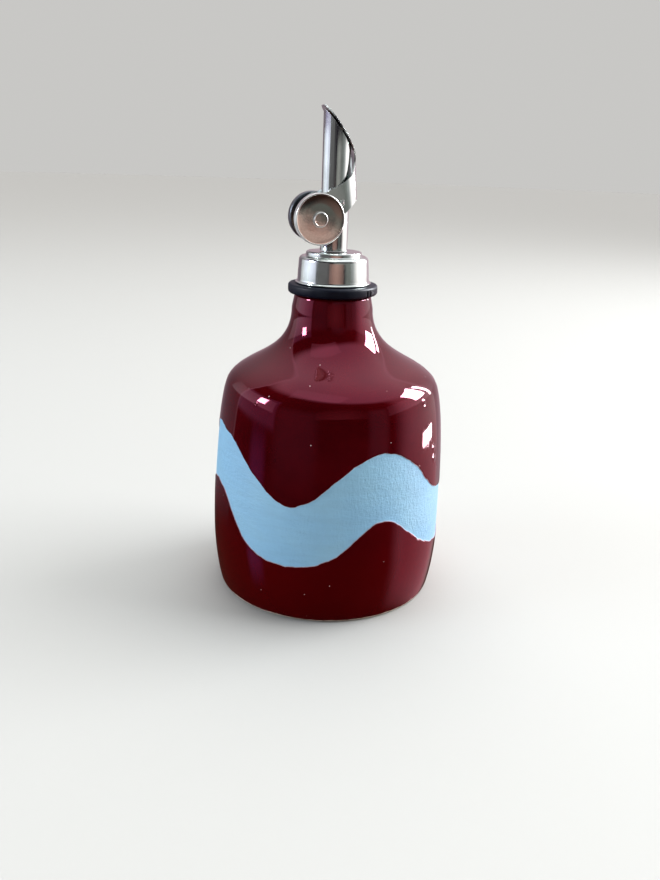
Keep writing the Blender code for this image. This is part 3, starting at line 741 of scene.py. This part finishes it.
def makeWornSteelWithPaintedLight(side):
    # the rims of the disc and of the rivet's head are paler than the faces, partly rubbed wear and partly
    # a painted highlight; the lower side's copper is partly patina and partly a painted reflection of the
    # brown table below
    look = discWearAndPaintedLight
    tones = look[side]
    finish, tree, shader = newFinish("wornStainlessWithPaintedLight" + side.capitalize())
    place = objectPlace(tree)
    middle = (tones["axis"][0] * mm, 0, tones["axis"][1] * mm)
    fromAxis = addNode(tree, 'ShaderNodeVectorMath', {0: place, 1: middle},
                       operation='SUBTRACT').outputs[0]
    flat = addNode(tree, 'ShaderNodeVectorMath', {0: fromAxis, 1: (1, 0, 1)}, operation='MULTIPLY')
    radial = addNode(tree, 'ShaderNodeVectorMath', {0: flat.outputs[0]},
                     operation='LENGTH').outputs["Value"]
    parted = addNode(tree, 'ShaderNodeSeparateXYZ', {"Vector": fromAxis}).outputs
    slant = sums(tree, 'ADD', parted["Z"], sums(tree, 'MULTIPLY', parted["X"], look["slant"]))
    mottle = cloudy(tree, place, look["mottleScale"], 4.0, 0.6)
    patch = ramped(tree, mottle, 0.3, 0.7, -look["mottleReach"] * mm, look["mottleReach"] * mm,
                   soft=False)
    # painted reflection, in part: the lower side turns copper like a reflection of the brown table below,
    # besides a copper patina
    lower = ramped(tree, sums(tree, 'ADD', slant, patch), look["turnsTo"] * mm, look["turnsFrom"] * mm,
                   1.0, 0.0)
    tone = mixed(tree, lower, tones["upper"], tones["lower"])
    cells = addNode(tree, 'ShaderNodeTexVoronoi', {"Vector": place, "Scale": look["crazeScale"]},
                    feature='DISTANCE_TO_EDGE').outputs["Distance"]
    crazed = sums(tree, 'MULTIPLY', ramped(tree, cells, 0.0, 0.12, 1.0, 0.0), lower)
    crazeTone = ramped(tree, crazed, 0.0, 1.0, 1.0, look["crazeTone"])
    tone = addNode(tree, 'ShaderNodeHueSaturation', {"Color": tone, "Value": crazeTone}).outputs[0]
    # painted highlight, in part: the disc's rim and the rivet head's rim get a paler tone, besides rubbed
    # wear
    discRim, headIn, headOut = look["discRimFrom"], look["rivetRimFrom"], look["rivetRimTo"]
    onDisc = ramped(tree, radial, discRim * mm, (discRim + look["discRimSoft"]) * mm)
    onHead = sums(tree, 'MULTIPLY',
                  ramped(tree, radial, headIn * mm, (headIn + look["rivetRimSoft"]) * mm),
                  ramped(tree, radial, headOut * mm, (headOut + look["rivetRimSoft"]) * mm, 1.0, 0.0))
    rim = sums(tree, 'ADD', onDisc, onHead)
    tree.links.new(mixed(tree, rim, tone, tones["rim"]), shader.inputs["Base Color"])
    worn = ramped(tree, mottle, 0.3, 0.75, look["smooth"], look["rubbed"])
    both = addNode(tree, 'ShaderNodeMix', {0: rim, 2: worn, 3: look["rimRoughness"]}, data_type='FLOAT')
    tree.links.new(both.outputs[0], shader.inputs["Roughness"])
    fine = cloudy(tree, place, look["fineScale"], 3.0, 0.6)
    tree.links.new(bumped(tree, fine, look["fineTall"] * mm, 0.5), shader.inputs["Normal"])
    tree.links.new(ramped(tree, lower, 0.0, 1.0, 1.0, tones["lowerMetallic"]), shader.inputs["Metallic"])
    return finish


rubberLook = {
    "dark": (0.0025, 0.004, 0.011),
    "dusty": (0.007, 0.010, 0.018),
    "smooth": 0.38, "rough": 0.58, "specular": 0.2,
    "dustScale": 240.0, "grainScale": 1500.0, "grainTall": 0.02,
}


def makeRubber():
    look = rubberLook
    finish, tree, shader = newFinish("navyRubber")
    place = objectPlace(tree)
    dust = cloudy(tree, place, look["dustScale"], 5.0, 0.65)
    tree.links.new(mixed(tree, ramped(tree, dust, 0.4, 0.75), look["dark"], look["dusty"]),
                   shader.inputs["Base Color"])
    tree.links.new(ramped(tree, dust, 0.3, 0.7, look["smooth"], look["rough"]),
                   shader.inputs["Roughness"])
    grain = cloudy(tree, place, look["grainScale"], 3.0)
    tree.links.new(bumped(tree, grain, look["grainTall"] * mm, 0.6), shader.inputs["Normal"])
    shader.inputs["Specular IOR Level"].default_value = look["specular"]
    return finish


polished, rubber = makePolishedSteel(), makeRubber()
# the far finish is a shaded copy of the near one: painted shade
worn = {"near": makeWornSteelWithPaintedLight("near"), "far": makeWornSteelWithPaintedLight("far")}
finishOf = {"collar": rubber, "weight_near": worn["near"], "weight_far": worn["far"],
            "rivet_near": worn["near"], "rivet_far": worn["far"]}
for name, node in cadNodes.items():
    node.data.materials.clear()
    node.data.materials.append(finishOf.get(name, polished))
print("stage: finishes")


def turnPiece(name, outline, around):
    # rings drawn up from the first point of the outline, fanned shut at both ends
    deselectAll()
    bpy.ops.mesh.primitive_circle_add(vertices=around, radius=outline[0][0] * mm, fill_type='NOTHING',
                                      location=(0, 0, 0))
    made = bpy.context.object
    made.name = name
    bpy.ops.object.mode_set(mode='EDIT')
    bpy.ops.transform.translate(value=(0, 0, outline[0][1] * mm))
    growRings(outline)
    if outline[0] == outline[-1]:
        bpy.ops.object.mode_set(mode='OBJECT')
        return made
    for end in ("last", "first"):
        if end == "first":
            bpy.ops.mesh.select_mode(type='EDGE')
            bpy.ops.mesh.select_all(action='DESELECT')
            bpy.ops.mesh.select_non_manifold(extend=False, use_wire=False, use_multi_face=False,
                                             use_non_contiguous=False, use_verts=False)
        bpy.ops.mesh.edge_face_add()
        bpy.ops.mesh.poke()
    bpy.ops.object.mode_set(mode='OBJECT')
    return made


def arcLine(centre, radius, first, last, steps):
    return [along(centre, degrees, radius) for degrees in np.linspace(first, last, steps + 1)]


# mm; the same sizes as the solids, turned finer
capShape = {
    "around": 144, "smoothAngle": 35, "axis": -0.3, "low": 106.5,
    "axisGap": 0.8, "underRing": 6.0, "topRing": 5.0, "flareSpread": 0.1, "footSoft": 0.12,
    "lipRadius": 12.6, "lipThickness": 0.35, "wallRadius": 11.85, "flareHeight": 1.5,
    "topRadius": 11.5, "wallHeight": 7.2, "shoulderRound": 1.5,
    "stepRadius": 9.2, "stepHeight": 1.4, "stepRound": 0.6,
    "arcSteps": 6, "flareSteps": 8, "shoulderSteps": 9,
}


def makeCap():
    cap = capShape
    low, lip = cap["low"], cap["lipThickness"] / 2
    wallTop = low + cap["wallHeight"]
    top = wallTop + cap["shoulderRound"] + cap["stepHeight"]
    wallRadius, stepRadius, stepLow = cap["wallRadius"], cap["stepRadius"], wallTop + cap["shoulderRound"]
    outline = [(cap["axisGap"], low), (cap["underRing"], low)]
    outline += arcLine((cap["lipRadius"] - lip, low + lip), lip, -90, 90, cap["arcSteps"])
    outline += curvePoints((cap["lipRadius"] - lip, low + 2 * lip),
                           (wallRadius + cap["flareSpread"], low + 2 * lip),
                           (wallRadius, low + cap["flareHeight"] / 2),
                           (wallRadius, low + cap["flareHeight"]), cap["flareSteps"])
    outline += arcLine((cap["topRadius"] - cap["shoulderRound"], wallTop), cap["shoulderRound"],
                       0, 90, cap["shoulderSteps"])
    outline += [(stepRadius + cap["footSoft"], stepLow), (stepRadius, stepLow + cap["footSoft"])]
    outline += arcLine((stepRadius - cap["stepRound"], top - cap["stepRound"]), cap["stepRound"],
                       0, 90, cap["arcSteps"])
    outline += [(cap["topRing"], top), (cap["axisGap"], top)]
    made = turnPiece("pressedCap", [(float(radius), float(height)) for radius, height in outline],
                     cap["around"])
    made.location.x = cap["axis"] * mm
    finishSurface(made, cap["smoothAngle"])
    return made


# mm; a disc weight and its rivet lie on one axis, drawn up and then turned onto their side
discShape = {
    "around": 112, "smoothAngle": 35, "height": 127.2,
    "reach": {"near": -7.6, "far": -6.0}, "turned": {"near": 90, "far": -90},
    "inner": 5.6, "thick": 2.6, "hole": 1.4, "radius": 8.0, "edgeRound": 0.4,
    "rimWidth": 0.6, "rimHeight": 0.4,
    "rimFoot": ((0.0, 0.12), (0.15, 0.02)), "faceRing": 4.5, "holeBevel": 0.1,
    "headRadius": 2.35, "headHeight": 0.9, "shank": 1.1, "tailRadius": 1.9, "tailHeight": 0.6,
    "tailTop": 4.6, "headLow": 8.5, "bevel": 0.4,
    "headAround": 64, "axisGap": 0.5, "headHollow": 0.1, "hollowSoft": 0.12,
    "edgeSteps": 5, "beadSteps": 14, "headSteps": 6,
}


def placeOnDiscAxis(made, side):
    disc = discShape
    made.rotation_euler.x = math.radians(disc["turned"][side])
    made.location = (disc["reach"][side] * mm, 0, disc["height"] * mm)
    finishSurface(made, disc["smoothAngle"])
    made.data.materials.append(worn[side])
    return made


def makeDisc(side):
    disc = discShape
    face, bead, edge = disc["inner"] + disc["thick"], disc["rimWidth"] / 2, disc["edgeRound"]
    outline = [(disc["hole"], disc["inner"])]
    outline += arcLine((disc["radius"] - edge, disc["inner"] + edge), edge, -90, 0, disc["edgeSteps"])
    outline += arcLine((disc["radius"] - bead, face + disc["rimHeight"] - bead), bead,
                       0, 180, disc["beadSteps"])
    outline += [(disc["radius"] - disc["rimWidth"] - inward, face + above)
                for inward, above in disc["rimFoot"]]
    outline += [(disc["faceRing"], face), (disc["hole"] + disc["holeBevel"], face),
                (disc["hole"], face - disc["holeBevel"])]
    outline += [outline[0]]
    outline = [(float(radius), float(height)) for radius, height in outline]
    return placeOnDiscAxis(turnPiece("wornDisc" + side.capitalize(), outline, disc["around"]), side)


def makeRivet(side):
    disc = discShape
    bevel, tailLow = disc["bevel"], disc["tailTop"] - disc["tailHeight"]
    headTop = disc["headLow"] + disc["headHeight"]
    hollow = headTop - disc["headHollow"]
    outline = [(disc["axisGap"], tailLow), (disc["tailRadius"] - bevel, tailLow),
               (disc["tailRadius"], tailLow + bevel),
               (disc["tailRadius"], disc["tailTop"]), (disc["shank"], disc["tailTop"]),
               (disc["shank"], disc["headLow"]), (disc["headRadius"], disc["headLow"])]
    outline += arcLine((disc["headRadius"] - bevel, headTop - bevel), bevel, 0, 90, disc["headSteps"])
    outline += [(disc["headRadius"] - bevel - disc["hollowSoft"], hollow), (disc["axisGap"], hollow)]
    outline = [(float(radius), float(height)) for radius, height in outline]
    made = turnPiece("rivetHead" + side.capitalize(), outline, disc["headAround"])
    return placeOnDiscAxis(made, side)


# new name, body, finish slot and the width of the eased edges in mm
easedPieces = {
    "flap": ("sheetFlap", "flap_body", "polished_steel", 0.17),
    "tube": ("pouringTube", "bottle_body", "polished_steel", 0.09),
    "collar": ("rubberCollar", "bottle_body", "navy_rubber", 0.12),
}
easing = {"sharpAngle": 50, "segments": 3, "smoothBefore": 35, "smoothAfter": 50}


def refined(name, newName, bevelWidth):
    # the solid's own shape with its sharp edges eased
    source = cadNodes[name]
    made = bpy.data.objects.new(newName, source.data.copy())
    bpy.context.scene.collection.objects.link(made)
    made.matrix_world = source.matrix_world
    finishSurface(made, easing["smoothBefore"])
    bevel = made.modifiers.new("easedEdges", 'BEVEL')
    bevel.width = bevelWidth * mm
    bevel.segments = easing["segments"]
    bevel.limit_method = 'ANGLE'
    bevel.angle_limit = math.radians(easing["sharpAngle"])
    bevel.harden_normals = False
    # the faces that the bevel makes go to a second slot for a moment, to be marked as cut edges
    made.data.materials.clear()
    for slotFinish in (polished, rubber):
        made.data.materials.append(slotFinish)
    bevel.material = 1
    bpy.ops.object.modifier_apply(modifier=bevel.name)
    faces = len(made.data.polygons)
    marks = np.zeros(faces, dtype=np.int32)
    made.data.polygons.foreach_get("material_index", marks)
    cutEdge = made.data.attributes.new("cutEdge", 'FLOAT', 'FACE')
    cutEdge.data.foreach_set("value", marks.astype(np.float32))
    made.data.polygons.foreach_set("material_index", np.zeros(faces, dtype=np.int32))
    made.data.materials.clear()
    made.data.materials.append(finishOf.get(name, polished))
    finishSurface(made, easing["smoothAfter"])
    return made


pieces = [(makeCap(), "bottle_body", "cap", "polished_steel")]
pieces[0][0].data.materials.append(polished)
for side in ("near", "far"):
    pieces.append((makeDisc(side), "flap_body", "weight_" + side, "worn_steel"))
    pieces.append((makeRivet(side), "flap_body", "rivet_" + side, "worn_steel"))
for name, (newName, body, slotName, width) in easedPieces.items():
    pieces.append((refined(name, newName, width), body, name, slotName))
for piece, body, node, slotName in pieces:
    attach(piece, body)
    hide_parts(node)
    print("stage:", piece.name, len(piece.data.polygons))
